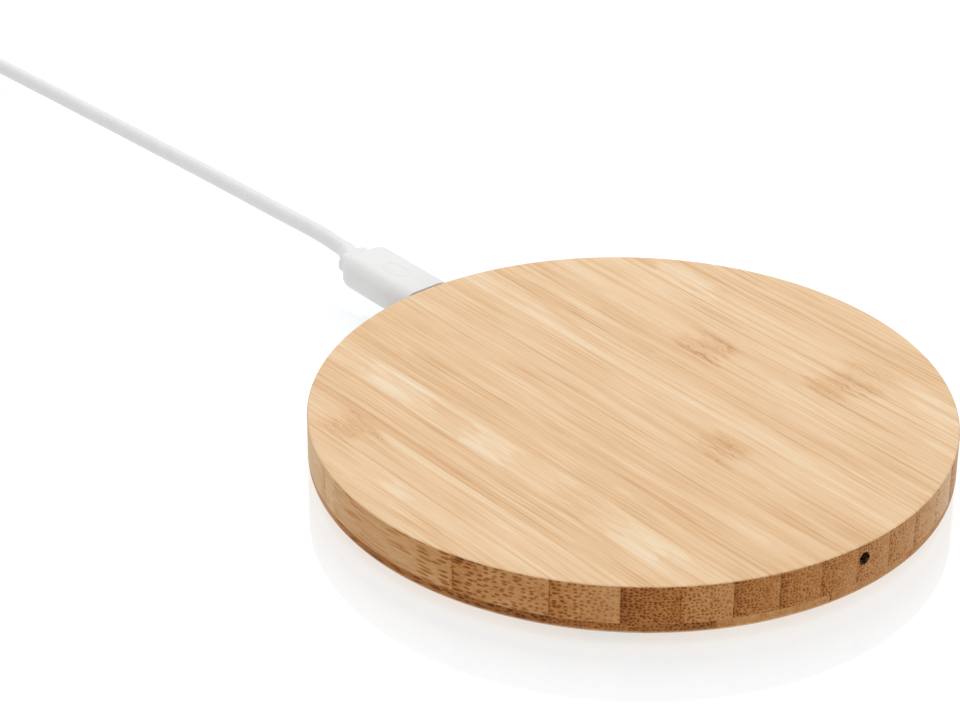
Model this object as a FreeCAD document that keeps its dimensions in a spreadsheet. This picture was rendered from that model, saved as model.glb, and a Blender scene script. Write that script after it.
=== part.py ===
import FreeCAD, Part
import math
import os
import re
import Sketcher
from FreeCAD import Placement, Rotation, Vector

# Round bamboo wireless charging pad with a detachable micro-USB lead.
# Millimetres. The origin is the centre of the footprint on the surface that the
# pad stands on, +Z is up, and +Y points out of the USB port, along the grain.

DIMENSIONS = {
    # bamboo case
    "pad_radius": 50.0,
    "pad_height": 10.0,
    "foot_thickness": 1.4,
    "foot_radius": 5.0,
    "foot_edge": 0.4,
    "seam_height": 3.7,
    "ceiling_height": 8.3,
    "cavity_radius": 46.5,
    "top_edge": 0.25,
    "lower_edge": 1.7,
    "boss_radius": 5.0,
    "screw_circle": 42.0,
    "screw_shaft_radius": 1.0,
    "screw_head_radius": 1.9,
    "screw_length": 5.4,
    "screw_slot_depth": 0.5,
    "screw_slot_length": 2.2,
    "screw_slot_width": 0.4,
    # openings in the rim
    "port_height": 6.6,
    "slot_width": 9.0,
    "slot_height": 3.3,
    "led_hole_radius": 1.0,
    "led_hole_height": 7.55,
    # circuit board
    "board_outer_radius": 36.5,
    "board_inner_radius": 27.0,
    "board_thickness": 1.0,
    "board_top": 5.35,
    "port_tab_width": 11.0,
    "port_tab_reach": 46.0,
    "led_tab_width": 8.0,
    "led_tab_reach": 46.0,
    "tape_inset": 0.6,
    # component bodies: length lies along the board's radius
    "component_circle": 31.6,
    "controller_length": 6.0,
    "controller_width": 6.0,
    "controller_height": 0.9,
    "protection_length": 3.0,
    "protection_width": 3.0,
    "protection_height": 0.9,
    "mosfet_length": 5.0,
    "mosfet_width": 4.0,
    "mosfet_height": 1.0,
    "resonant_length": 4.5,
    "resonant_width": 3.2,
    "resonant_height": 2.2,
    "input_length": 3.2,
    "input_width": 2.5,
    "input_height": 1.8,
    "choke_length": 5.0,
    "choke_width": 5.0,
    "choke_height": 2.4,
    "resistor_length": 1.6,
    "resistor_width": 0.8,
    "resistor_height": 0.5,
    "capacitor_length": 1.6,
    "capacitor_width": 0.8,
    "capacitor_height": 0.8,
    "capacitor_circle": 34.4,
    # indicator light, lying on its side
    "led_radius": 0.9,
    "led_axis_height": 6.95,
    "led_front": 44.4,
    "led_barrel_length": 1.6,
    "led_flange_radius": 1.15,
    "led_flange_thickness": 0.5,
    "led_wire_radius": 0.2,
    "led_wire_spacing": 1.0,
    "led_wire_reach": 1.3,
    # coil stack
    "ferrite_radius": 25.0,
    "ferrite_bottom": 5.9,
    "ferrite_thickness": 1.0,
    "ferrite_slot_width": 1.7,
    "ferrite_slot_start": 8.0,
    "coil_inner_radius": 10.0,
    "coil_pitch": 1.04,
    "coil_turns": 11,
    "coil_wire_radius": 0.5,
    "lead_wire_radius": 0.4,
    "film_window_inset": 1.0,
    "sensor_radius": 1.5,
    "sensor_height": 1.0,
    "sensor_wire_radius": 0.14,
    # micro-USB receptacle
    "port_width": 7.5,
    "port_shell_height": 2.5,
    "port_length": 5.0,
    "port_front": 47.5,
    "port_wall": 0.25,
    "port_corner": 0.6,
    "port_base_thickness": 0.8,
    "port_contact_setback": 0.3,
    "tongue_width": 3.9,
    "tongue_thickness": 0.6,
    "tongue_length": 3.5,
    "tongue_offset": 0.25,
    # micro-USB plug
    "plug_width": 6.85,
    "plug_height": 1.8,
    "plug_wall": 0.25,
    "plug_corner": 0.45,
    "plug_tip": 43.5,
    "plug_embed": 3.0,
    "grip_front": 50.8,
    "grip_length": 16.5,
    "grip_width": 10.0,
    "grip_height": 6.0,
    "grip_edge": 2.5,
    "grip_end_edge": 0.7,
    "collar_width": 6.6,
    "collar_height": 4.0,
    "collar_length": 3.6,
    "collar_edge": 1.6,
    "boot_radius": 2.0,
    "boot_tip_radius": 1.65,
    "boot_length": 3.6,
    "insulator_width": 5.0,
    "insulator_thickness": 0.4,
    "insulator_tip_gap": 0.5,
    "insulator_embed": 2.2,
    "insulator_heel_length": 3.4,
    "contact_width": 0.34,
    "contact_thickness": 0.07,
    "contact_pitch": 0.65,
    "contact_setback": 0.9,
    "contact_end_gap": 1.2,
    "latch_width": 0.6,
    "latch_length": 1.4,
    "latch_thickness": 0.06,
    "latch_spacing": 4.4,
    "latch_setback": 1.6,
    # cord
    "cord_radius": 1.4,
    "cord_coil_mid_radius": 15.4,
    "cord_coil_section": 8.6,
    "cord_coil_edge": 2.6,
    "cord_coil_x": -19.0,
    "cord_coil_y": 214.0,
    "cord_coil_lift": 0.3,
    "tie_width": 4.0,
    "tie_thickness": 0.3,
    "tie_gap": 0.2,
    # USB-A plug
    "host_x": -39.6,
    "host_axis_height": 4.0,
    "host_boot_start": 196.5,
    "host_boot_length": 8.0,
    "host_boot_radius": 3.0,
    "host_boot_tip_radius": 2.0,
    "host_grip_length": 20.0,
    "host_grip_width": 15.5,
    "host_grip_height": 8.0,
    "host_grip_edge": 2.4,
    "host_grip_end_edge": 0.8,
    "host_shell_width": 12.0,
    "host_shell_height": 4.5,
    "host_shell_length": 18.75,
    "host_shell_wall": 0.3,
    "host_tongue_thickness": 1.9,
    "host_contact_width": 1.1,
    "host_contact_pitch": 2.25,
    "host_contact_length": 8.0,
    "host_contact_setback": 1.2,
    "host_tongue_setback": 0.3,
    "host_window_size": 2.4,
    "host_window_spacing": 5.6,
    "host_window_setback": 5.2,
}

# Where the cord runs from the plug's boot to the coil: hand-placed route points.
CORD_ROUTE = [
    (0.0, 73.5, 6.6),
    (1.1, 80.5, 6.75),
    (1.0, 93.0, 6.35),
    (0.7, 112.0, 5.7),
    (0.55, 138.0, 4.85),
    (-0.2, 166.0, 4.0),
    (-0.7, 190.0, 3.1),
    (-0.85, 204.0, 2.05),
    (-0.8, 214.0, 1.7),
]

# Where the cord runs from the coil to the USB-A plug's boot.
TAIL_ROUTE = [
    (-37.6, 210.0, 7.2),
    (-38.7, 203.5, 5.4),
    (-39.6, 196.0, 4.0),
]

# The first body's azimuth on the board and the step to the next, in degrees.
MOSFET_AZIMUTHS = (150, 13)
RESONANT_AZIMUTHS = (212, 11)
RESISTOR_AZIMUTHS = (286, 5)
CAPACITOR_AZIMUTHS = (284, 5)
CONTROLLER_AZIMUTH = 48
PROTECTION_AZIMUTH = 128
INPUT_AZIMUTHS = (72, 36)
CHOKE_AZIMUTH = -11

doc = FreeCAD.newDocument("charging_pad")
sheet = doc.addObject("Spreadsheet::Sheet", "Dimensions")
for row, (alias, value) in enumerate(DIMENSIONS.items(), start=1):
    sheet.set("A%d" % row, alias)
    sheet.set("B%d" % row, str(value))
    sheet.setAlias("B%d" % row, alias)
doc.recompute()

subparts = []


# --- helpers -------------------------------------------------------------

def size(alias):
    """The number that the sheet holds under an alias."""
    return float(sheet.get(alias))


def bound(formula):
    """A formula in aliases, written as an expression on the sheet."""
    def qualified(match):
        word = match.group(0)
        return "Dimensions." + word if word in DIMENSIONS else word
    return re.sub(r"[a-z_]+", qualified, formula)


def bind(thing, **formulas):
    for name, formula in formulas.items():
        thing.setExpression(name, bound(formula))


def move(thing, x="0", y="0", z="0"):
    for axis, formula in zip("xyz", (x, y, z)):
        thing.setExpression("Placement.Base." + axis, bound(formula))


def keep(thing):
    """Count an object as one sub-part of the finished assembly."""
    subparts.append(thing)
    return thing


def named(kind, label):
    thing = doc.addObject(kind, label)
    thing.Label = label
    return thing


def plain_body(label):
    return keep(named("PartDesign::Body", label))


def origin_plane(body, role):
    for feature in body.Origin.OriginFeatures:
        if feature.Role == role:
            return feature
    raise ValueError("no plane " + role)


def sketch_on(body, name, role, offset="0"):
    """A sketch on an origin plane, shifted along the plane's normal."""
    sketch = body.newObject("Sketcher::SketchObject", body.Name + "_" + name)
    sketch.AttachmentSupport = [(origin_plane(body, role), "")]
    sketch.MapMode = "FlatFace"
    sketch.setExpression(".AttachmentOffset.Base.z", bound(offset))
    return sketch


def pin_point(sketch, geometry, point, x, y):
    """Hold a point of a sketch at formula coordinates."""
    for kind, formula in (("DistanceX", x), ("DistanceY", y)):
        index = sketch.addConstraint(Sketcher.Constraint(kind, -1, 1, geometry, point, 1.0))
        sketch.setExpression("Constraints[%d]" % index, bound(formula))


def add_circle(sketch, radius, x="0", y="0"):
    circle = Part.Circle(Vector(0, 0, 0), Vector(0, 0, 1), 1.0)
    geometry = sketch.addGeometry(circle, False)
    pin_point(sketch, geometry, 3, x, y)
    index = sketch.addConstraint(Sketcher.Constraint("Radius", geometry, 1.0))
    sketch.setExpression("Constraints[%d]" % index, bound(radius))


def add_polygon(sketch, corners):
    """A closed outline through corners given as pairs of formulas."""
    count = len(corners)
    turn = 2 * math.pi / count
    spots = [Vector(math.cos(turn * k), math.sin(turn * k), 0) for k in range(count)]
    lines = []
    for k in range(count):
        line = Part.LineSegment(spots[k], spots[(k + 1) % count])
        lines.append(sketch.addGeometry(line, False))
    for k in range(count):
        following = lines[(k + 1) % count]
        sketch.addConstraint(Sketcher.Constraint("Coincident", lines[k], 2, following, 1))
        pin_point(sketch, lines[k], 1, corners[k][0], corners[k][1])


def add_rectangle(sketch, width, height, x="0", y="0"):
    left, right = "%s - (%s) / 2" % (x, width), "%s + (%s) / 2" % (x, width)
    low, high = "%s - (%s) / 2" % (y, height), "%s + (%s) / 2" % (y, height)
    add_polygon(sketch, [(left, low), (right, low), (right, high), (left, high)])


def add_usb_outline(sketch, width, height, corner, inset, middle):
    """A micro-USB section: a rectangle with its two lower corners cut off."""
    half = "((%s) / 2 - %s)" % (width, inset)
    top = "(%s + (%s) / 2 - %s)" % (middle, height, inset)
    low = "(%s - (%s) / 2 + %s)" % (middle, height, inset)
    add_polygon(sketch, [
        ("-%s + %s" % (half, corner), low),
        ("%s - %s" % (half, corner), low),
        (half, "%s + %s" % (low, corner)),
        (half, top),
        ("-" + half, top),
        ("-" + half, "%s + %s" % (low, corner)),
    ])


def feature_on(body, kind, name, sketch, length, reverse=False):
    """A Pad or Pocket of a sketch."""
    sketch.Visibility = False
    feature = body.newObject("PartDesign::" + kind, body.Name + "_" + name)
    feature.Profile = sketch
    feature.Reversed = reverse
    feature.setExpression("Length", bound(length))
    body.Tip = feature
    doc.recompute()
    return feature


def ring_of_four(body, name, feature):
    """Repeat a feature at the four screw positions."""
    pattern = body.newObject("PartDesign::PolarPattern", body.Name + "_" + name)
    pattern.Originals = [feature]
    axis = [f for f in body.Origin.OriginFeatures if f.Role == "Z_Axis"][0]
    pattern.Axis = (axis, [""])
    pattern.Angle = 360
    pattern.Occurrences = 4
    body.Tip = pattern
    doc.recompute()
    return pattern


def dress(body, kind, name, base, wanted, length):
    """Fillet or chamfer the edges of a feature that a test picks out."""
    names = ["Edge%d" % k for k, edge in enumerate(base.Shape.Edges, start=1) if wanted(edge)]
    feature = body.newObject("PartDesign::" + kind, body.Name + "_" + name)
    feature.Base = (base, names)
    feature.setExpression("Radius" if kind == "Fillet" else "Size", bound(length))
    body.Tip = feature
    doc.recompute()
    return feature


def circle_at(radius, height):
    """A test for the circular edge of one radius at one height."""
    def wanted(edge):
        is_circle = isinstance(edge.Curve, Part.Circle)
        return (is_circle and abs(edge.Curve.Radius - radius) < 1e-4
                and abs(edge.Curve.Center.z - height) < 1e-4)
    return wanted


def along_y(edge):
    return isinstance(edge.Curve, Part.Line) and abs(edge.Curve.Direction.y) > 0.999


def at_y(place):
    """A test for edges that lie wholly in the plane at one y."""
    def wanted(edge):
        return all(abs(vertex.Y - place) < 1e-4 for vertex in edge.Vertexes)
    return wanted


def block(label, width, depth, height, x="0", y="0", z="0"):
    """A box centred on x and y, with its underside at z."""
    box = named("Part::Box", label)
    bind(box, Length=width, Width=depth, Height=height)
    move(box, "%s - (%s) / 2" % (x, width), "%s - (%s) / 2" % (y, depth), z)
    return box


def drum(label, radius, height, x="0", y="0", z="0"):
    cylinder = named("Part::Cylinder", label)
    bind(cylinder, Radius=radius, Height=height)
    move(cylinder, x, y, z)
    return cylinder


def cut(label, base, tool):
    result = named("Part::Cut", label)
    result.Base = base
    result.Tool = tool
    return result


def fuse(label, pieces):
    result = named("Part::MultiFuse", label)
    result.Shapes = pieces
    return result


def group(label, pieces):
    result = named("Part::Compound", label)
    result.Links = pieces
    return keep(result)


def around(azimuth, radius, height):
    """The placement of a thing that faces outward at an azimuth of the board."""
    turn = math.radians(azimuth)
    spot = Vector(radius * math.cos(turn), radius * math.sin(turn), height)
    return Placement(spot, Rotation(Vector(0, 0, 1), azimuth))


def round_rod(route, radius):
    """A solid rod along a wire, with the wire's length."""
    start = route.Edges[0]
    outward = start.tangentAt(start.FirstParameter)
    circle = Part.Circle(start.valueAt(start.FirstParameter), outward, radius)
    face = Part.Face(Part.Wire(circle.toShape()))
    return route.makePipe(face)


def route_wire(label, points):
    """Straight runs joined by arcs as large as the two runs beside them allow."""
    spots = [Vector(*point) for point in points]
    edges = []
    radii = []
    start = spots[0]
    for before, corner, after in zip(spots, spots[1:], spots[2:]):
        inward = (corner - before).normalize()
        outward = (after - corner).normalize()
        shorter = min(before.distanceToPoint(corner), corner.distanceToPoint(after))
        half_turn = inward.getAngle(outward) / 2
        reach = 0.45 * shorter
        radius = reach / math.tan(half_turn)
        towards = (outward - inward).normalize()
        middle = corner + towards * (radius * (1 / math.cos(half_turn) - 1))
        edges.append(Part.LineSegment(start, corner - inward * reach).toShape())
        arc = Part.Arc(corner - inward * reach, middle, corner + outward * reach)
        edges.append(arc.toShape())
        start = corner + outward * reach
        radii.append(round(radius, 1))
    edges.append(Part.LineSegment(start, spots[-1]).toShape())
    wire = Part.Wire(edges)
    print(label, "bend radii", radii, "length", round(wire.Length, 2))
    return wire


def shaped(label, shape):
    """A sub-part whose shape is made by sweeping."""
    feature = named("Part::Feature", label)
    feature.Shape = shape
    return keep(feature)


def swept(label, wire, radius):
    rod = round_rod(wire, radius)
    expected = math.pi * radius ** 2 * wire.Length
    print(label, "volume", round(rod.Volume, 2), "section x length", round(expected, 2))
    return rod


# --- bamboo case ---------------------------------------------------------

def make_top_shell():
    """The upper bamboo board: hollow underneath, with a roof over the coil."""
    body = plain_body("top_shell")
    disc = sketch_on(body, "disc", "XY_Plane", "seam_height")
    add_circle(disc, "pad_radius")
    slab = feature_on(body, "Pad", "slab", disc, "pad_height - seam_height")
    rim = circle_at(size("pad_radius"), size("pad_height"))
    dress(body, "Chamfer", "top_edge", slab, rim, "top_edge")
    hollow = sketch_on(body, "hollow", "XY_Plane", "seam_height")
    add_circle(hollow, "cavity_radius")
    feature_on(body, "Pocket", "cavity", hollow, "ceiling_height - seam_height", True)
    spot = sketch_on(body, "spot", "XY_Plane", "seam_height")
    add_circle(spot, "boss_radius", "screw_circle * cos(45 deg)", "screw_circle * sin(45 deg)")
    boss = feature_on(body, "Pad", "boss", spot, "ceiling_height - seam_height")
    ring_of_four(body, "bosses", boss)
    pilot = sketch_on(body, "pilot", "XY_Plane", "seam_height")
    add_circle(pilot, "screw_shaft_radius", "screw_circle * cos(45 deg)",
               "screw_circle * sin(45 deg)")
    depth = "screw_length - (seam_height - foot_thickness)"
    hole = feature_on(body, "Pocket", "pilot_hole", pilot, depth, True)
    ring_of_four(body, "pilot_holes", hole)
    slot = sketch_on(body, "slot", "XZ_Plane")
    add_rectangle(slot, "slot_width - slot_height", "slot_height", "0", "port_height")
    feature_on(body, "Pocket", "port_slot", slot, "pad_radius + 1")
    for side in ("-", ""):
        end = sketch_on(body, "slot_end", "XZ_Plane")
        add_circle(end, "slot_height / 2", side + "(slot_width - slot_height) / 2", "port_height")
        feature_on(body, "Pocket", "port_slot_end", end, "pad_radius + 1")
    light = sketch_on(body, "light", "XZ_Plane")
    add_circle(light, "led_hole_radius", "0", "led_hole_height")
    feature_on(body, "Pocket", "led_hole", light, "pad_radius + 1", True)


def make_base_plate():
    """The thin bamboo board that closes the case, with a rounded lower edge."""
    body = plain_body("base_plate")
    disc = sketch_on(body, "disc", "XY_Plane", "foot_thickness")
    add_circle(disc, "pad_radius")
    slab = feature_on(body, "Pad", "slab", disc, "seam_height - foot_thickness")
    rim = circle_at(size("pad_radius"), size("foot_thickness"))
    dress(body, "Fillet", "lower_edge", slab, rim, "lower_edge")
    spot = sketch_on(body, "spot", "XY_Plane", "foot_thickness")
    add_circle(spot, "screw_shaft_radius", "screw_circle * cos(45 deg)",
               "screw_circle * sin(45 deg)")
    hole = feature_on(body, "Pocket", "screw_hole", spot, "seam_height - foot_thickness", True)
    holes = ring_of_four(body, "screw_holes", hole)
    mouth = circle_at(size("screw_shaft_radius"), size("foot_thickness"))
    dress(body, "Chamfer", "countersinks", holes, mouth, "screw_head_radius - screw_shaft_radius")


def make_base_screws():
    """Four countersunk wood screws, driven from below."""
    screws = []
    for number in range(4):
        shaft = drum("screw_shaft_%d" % number, "screw_shaft_radius",
                     "screw_length", "0", "0", "0")
        head = named("Part::Cone", "screw_head_%d" % number)
        bind(head, Radius1="screw_head_radius", Radius2="screw_shaft_radius",
             Height="screw_head_radius - screw_shaft_radius")
        solid = fuse("screw_body_%d" % number, [shaft, head])
        arms = [block("screw_slot_along_%d" % number, "screw_slot_length", "screw_slot_width",
                      "screw_slot_depth"),
                block("screw_slot_across_%d" % number, "screw_slot_width", "screw_slot_length",
                      "screw_slot_depth")]
        cross = fuse("screw_cross_%d" % number, arms)
        screw = cut("screw_%d" % number, solid, cross)
        angle = "(%d deg)" % (45 + 90 * number)
        move(screw, "screw_circle * cos" + angle, "screw_circle * sin" + angle, "foot_thickness")
        screws.append(screw)
    group("base_screws", screws)


def make_feet():
    """Four stick-on silicone feet that cover the screw heads."""
    for number in range(1, 5):
        body = plain_body("foot_%d" % number)
        disc = sketch_on(body, "disc", "XY_Plane")
        add_circle(disc, "foot_radius")
        pad = feature_on(body, "Pad", "pad", disc, "foot_thickness")
        rim = circle_at(size("foot_radius"), 0.0)
        dress(body, "Fillet", "edge", pad, rim, "foot_edge")
        angle = "(%d deg)" % (90 * number - 45)
        move(body, "screw_circle * cos" + angle, "screw_circle * sin" + angle)


# --- electronics ---------------------------------------------------------

def make_circuit_board():
    """A ring board round the coil, with a tab at the port and one at the light."""
    body = plain_body("circuit_board")
    height = "board_top - board_thickness"
    ring = sketch_on(body, "ring", "XY_Plane", height)
    add_circle(ring, "board_outer_radius")
    feature_on(body, "Pad", "ring_pad", ring, "board_thickness")
    for name, width, reach, side in (("port_tab", "port_tab_width", "port_tab_reach", ""),
                                     ("led_tab", "led_tab_width", "led_tab_reach", "-")):
        tab = sketch_on(body, name, "XY_Plane", height)
        middle = "%s(%s + board_inner_radius) / 2" % (side, reach)
        add_rectangle(tab, width, "%s - board_inner_radius" % reach, "0", middle)
        feature_on(body, "Pad", name + "_pad", tab, "board_thickness")
    hole = sketch_on(body, "hole", "XY_Plane", height)
    add_circle(hole, "board_inner_radius")
    feature_on(body, "Pocket", "coil_opening", hole, "board_thickness", True)


def make_board_tape():
    """The foam tape that sticks the board to the base plate."""
    thickness = "board_top - board_thickness - seam_height"
    outer = drum("board_tape_outer", "board_outer_radius - tape_inset", thickness,
                 "0", "0", "seam_height")
    inner = drum("board_tape_inner", "board_inner_radius + tape_inset", thickness,
                 "0", "0", "seam_height")
    keep(cut("board_tape", outer, inner))


def chip(label, kind, azimuth, circle="component_circle"):
    """A component body on the board, with its length along the radius."""
    box = named("Part::Box", label)
    bind(box, Length=kind + "_length", Width=kind + "_width", Height=kind + "_height")
    doc.recompute()
    spot = around(azimuth, size(circle), size("board_top"))
    middle = Vector(-size(kind + "_length") / 2, -size(kind + "_width") / 2, 0)
    box.Placement = spot * Placement(middle, Rotation())
    return box


def chips_in_a_row(name, kind, count, azimuths, circle="component_circle"):
    first, step = azimuths
    return [chip("%s_%d" % (name, k + 1), kind, first + step * k, circle) for k in range(count)]


def make_components():
    """The parts that a 5 W transmitter carries on its board."""
    keep(chip("controller_ic", "controller", CONTROLLER_AZIMUTH))
    keep(chip("protection_ic", "protection", PROTECTION_AZIMUTH))
    keep(chip("input_choke", "choke", CHOKE_AZIMUTH))
    for body in (chips_in_a_row("mosfet", "mosfet", 4, MOSFET_AZIMUTHS)
                 + chips_in_a_row("resonant_capacitor", "resonant", 4, RESONANT_AZIMUTHS)
                 + chips_in_a_row("input_capacitor", "input", 2, INPUT_AZIMUTHS)):
        keep(body)
    group("chip_resistors",
          chips_in_a_row("chip_resistor", "resistor", 10, RESISTOR_AZIMUTHS))
    group("chip_capacitors",
          chips_in_a_row("chip_capacitor", "capacitor", 10, CAPACITOR_AZIMUTHS,
                         "capacitor_circle"))


def make_led():
    """A small indicator light lying on its side behind the hole in the rim."""
    axis, front = size("led_axis_height"), -size("led_front")
    level = Rotation(Vector(1, 0, 0), 90)
    barrel = named("Part::Cylinder", "led_barrel")
    bind(barrel, Radius="led_radius", Height="led_barrel_length")
    barrel_end = front + size("led_barrel_length")
    barrel.Placement = Placement(Vector(0, barrel_end, axis), level)
    dome = named("Part::Sphere", "led_dome")
    bind(dome, Radius="led_radius")
    dome.Placement = Placement(Vector(0, front, axis), Rotation())
    flange = named("Part::Cylinder", "led_flange")
    bind(flange, Radius="led_flange_radius", Height="led_flange_thickness")
    back = barrel_end + size("led_flange_thickness")
    flange.Placement = Placement(Vector(0, back, axis), level)
    keep(fuse("indicator_led", [barrel, dome, flange]))
    radius = size("led_wire_radius")
    bend = back + size("led_wire_reach")
    wires = []
    for side in (-size("led_wire_spacing") / 2, size("led_wire_spacing") / 2):
        elbow = Vector(side, bend, axis)
        out = Part.LineSegment(Vector(side, back, axis), elbow).toShape()
        down = Part.LineSegment(elbow, Vector(side, bend, size("board_top"))).toShape()
        rods = [round_rod(Part.Wire([down]), radius), Part.makeSphere(radius, elbow)]
        wires.append(round_rod(Part.Wire([out]), radius).fuse(rods).removeSplitter())
    shaped("led_wires", Part.Compound(wires))


# --- coil stack ----------------------------------------------------------

def make_coil_support():
    """Foam, ferrite and film that hold the coil against the roof."""
    keep(drum("coil_foam", "ferrite_radius", "ferrite_bottom - seam_height",
              "0", "0", "seam_height"))
    disc = drum("ferrite_disc_blank", "ferrite_radius", "ferrite_thickness",
                "0", "0", "ferrite_bottom")
    slot = block("ferrite_slot", "ferrite_radius", "ferrite_slot_width", "ferrite_thickness",
                 "ferrite_slot_start + ferrite_radius / 2", "0", "ferrite_bottom")
    keep(cut("ferrite_disc", disc, slot))
    film_bottom = "(ferrite_bottom + ferrite_thickness + 2 * coil_wire_radius)"
    film_thickness = "ceiling_height - " + film_bottom
    film = drum("film_blank", "coil_inner_radius + coil_turns * coil_pitch", film_thickness,
                "0", "0", film_bottom)
    window = drum("film_window", "coil_inner_radius - film_window_inset", film_thickness,
                  "0", "0", film_bottom)
    keep(cut("coil_film", film, window))


def make_transmit_coil():
    """A flat spiral of litz wire, drawn as semicircles about two centres."""
    pitch = size("coil_pitch")
    inner = size("coil_inner_radius")
    height = size("ferrite_bottom") + size("ferrite_thickness") + size("coil_wire_radius")
    edges = []
    for half in range(2 * int(size("coil_turns"))):
        radius = inner + half * pitch / 2
        centre = Vector((half % 2) * pitch / 2, 0, height)
        side = 1 if half % 2 == 0 else -1
        start = centre + Vector(side * radius, 0, 0)
        top = centre + Vector(0, side * radius, 0)
        end = centre - Vector(side * radius, 0, 0)
        edges.append(Part.Arc(start, top, end).toShape())
    wire = Part.Wire(edges)
    shaped("transmit_coil", swept("transmit_coil", wire, size("coil_wire_radius")))


def make_wires():
    """Coil leads and temperature-sensor wires, which reach the board over its edge."""
    in_slot = size("ferrite_bottom") + size("ferrite_thickness") / 2
    on_ferrite = size("ferrite_bottom") + size("ferrite_thickness") + size("coil_wire_radius")
    on_board = size("board_top") + size("lead_wire_radius")
    slot_start = size("ferrite_slot_start")
    winding_end = size("coil_inner_radius") + size("coil_turns") * size("coil_pitch")
    inner_lead = [(slot_start + 0.5, 0, in_slot), (25.2, 0, in_slot), (29.5, 0, on_board)]
    outer_lead = [(winding_end, 0.15, on_ferrite), (winding_end + 2.2, 9.0, on_ferrite),
                  (26.5, 13.5, on_board)]
    leads = [round_rod(route_wire("coil lead", points), size("lead_wire_radius"))
             for points in (inner_lead, outer_lead)]
    shaped("coil_leads", Part.Compound(leads))
    keep(drum("temperature_sensor", "sensor_radius", "sensor_height",
              "0", "0", "ferrite_bottom + ferrite_thickness"))
    thin = size("sensor_wire_radius")
    wires = []
    for side in (-0.62, 0.62):
        points = [(slot_start + 0.3, side, in_slot), (25.8, side, in_slot),
                  (29.0, 2.6 * side, size("board_top") + thin)]
        wires.append(round_rod(route_wire("sensor wire", points), thin))
    shaped("sensor_wires", Part.Compound(wires))


# --- micro-USB receptacle and plug ---------------------------------------

def usb_tube(label, width, height, corner, wall, middle, front_offset, length):
    """A folded steel tube of micro-USB section, running along Y."""
    body = plain_body(label)
    outline = sketch_on(body, "outline", "XZ_Plane", front_offset)
    add_usb_outline(outline, width, height, corner, "0", middle)
    feature_on(body, "Pad", "tube", outline, length, True)
    mouth = sketch_on(body, "mouth", "XZ_Plane", front_offset)
    add_usb_outline(mouth, width, height, corner, wall, middle)
    feature_on(body, "Pocket", "bore", mouth, length)


def contact_strips(label, count, pitch, width, thickness, y_from, y_to, z, x="0"):
    """A row of equal contact strips, as separate solids in one node."""
    strips = []
    for k in range(count):
        offset = "%s + (%s) * %s" % (x, k - (count - 1) / 2, pitch)
        strips.append(block("%s_%d" % (label, k), width, "(%s) - (%s)" % (y_to, y_from),
                            thickness, offset, "((%s) + (%s)) / 2" % (y_to, y_from), z))
    group(label, strips)


def make_receptacle():
    usb_tube("port_shell", "port_width", "port_shell_height", "port_corner", "port_wall",
             "port_height", "-(port_front - port_length)", "port_length")
    body = plain_body("port_tongue")
    plug = sketch_on(body, "plug", "XZ_Plane", "-(port_front - port_length)")
    add_usb_outline(plug, "port_width", "port_shell_height", "port_corner", "port_wall",
                    "port_height")
    feature_on(body, "Pad", "base", plug, "port_base_thickness", True)
    plate = sketch_on(body, "plate", "XZ_Plane", "-(port_front - port_length)")
    add_rectangle(plate, "tongue_width", "tongue_thickness", "0", "port_height + tongue_offset")
    feature_on(body, "Pad", "tongue", plate, "port_base_thickness + tongue_length", True)
    start = "port_front - port_length + port_base_thickness"
    low_face = "port_height + tongue_offset - tongue_thickness / 2"
    contact_strips("port_contacts", 5, "contact_pitch", "contact_width", "contact_thickness",
                   start, start + " + tongue_length - port_contact_setback",
                   low_face + " - contact_thickness")


def make_plug():
    usb_tube("plug_shell", "plug_width", "plug_height", "plug_corner", "plug_wall",
             "port_height", "-plug_tip", "grip_front + plug_embed - plug_tip")
    floor = "port_height - plug_height / 2 + plug_wall"
    rear = "(grip_front + insulator_embed)"
    tip = "(plug_tip + insulator_tip_gap)"
    plate = block("insulator_plate", "insulator_width", "%s - %s" % (rear, tip),
                  "insulator_thickness", "0", "(%s + %s) / 2" % (rear, tip), floor)
    heel = block("insulator_heel", "insulator_width", "insulator_heel_length",
                 "plug_height - 2 * plug_wall", "0", rear + " - insulator_heel_length / 2", floor)
    keep(fuse("plug_insulator", [plate, heel]))
    contact_strips("plug_contacts", 5, "contact_pitch", "contact_width", "contact_thickness",
                   "plug_tip + contact_setback", "grip_front - contact_end_gap",
                   floor + " + insulator_thickness")
    contact_strips("plug_latches", 2, "latch_spacing", "latch_width", "latch_thickness",
                   "plug_tip + latch_setback", "plug_tip + latch_setback + latch_length",
                   "port_height - plug_height / 2 - latch_thickness")


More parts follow.
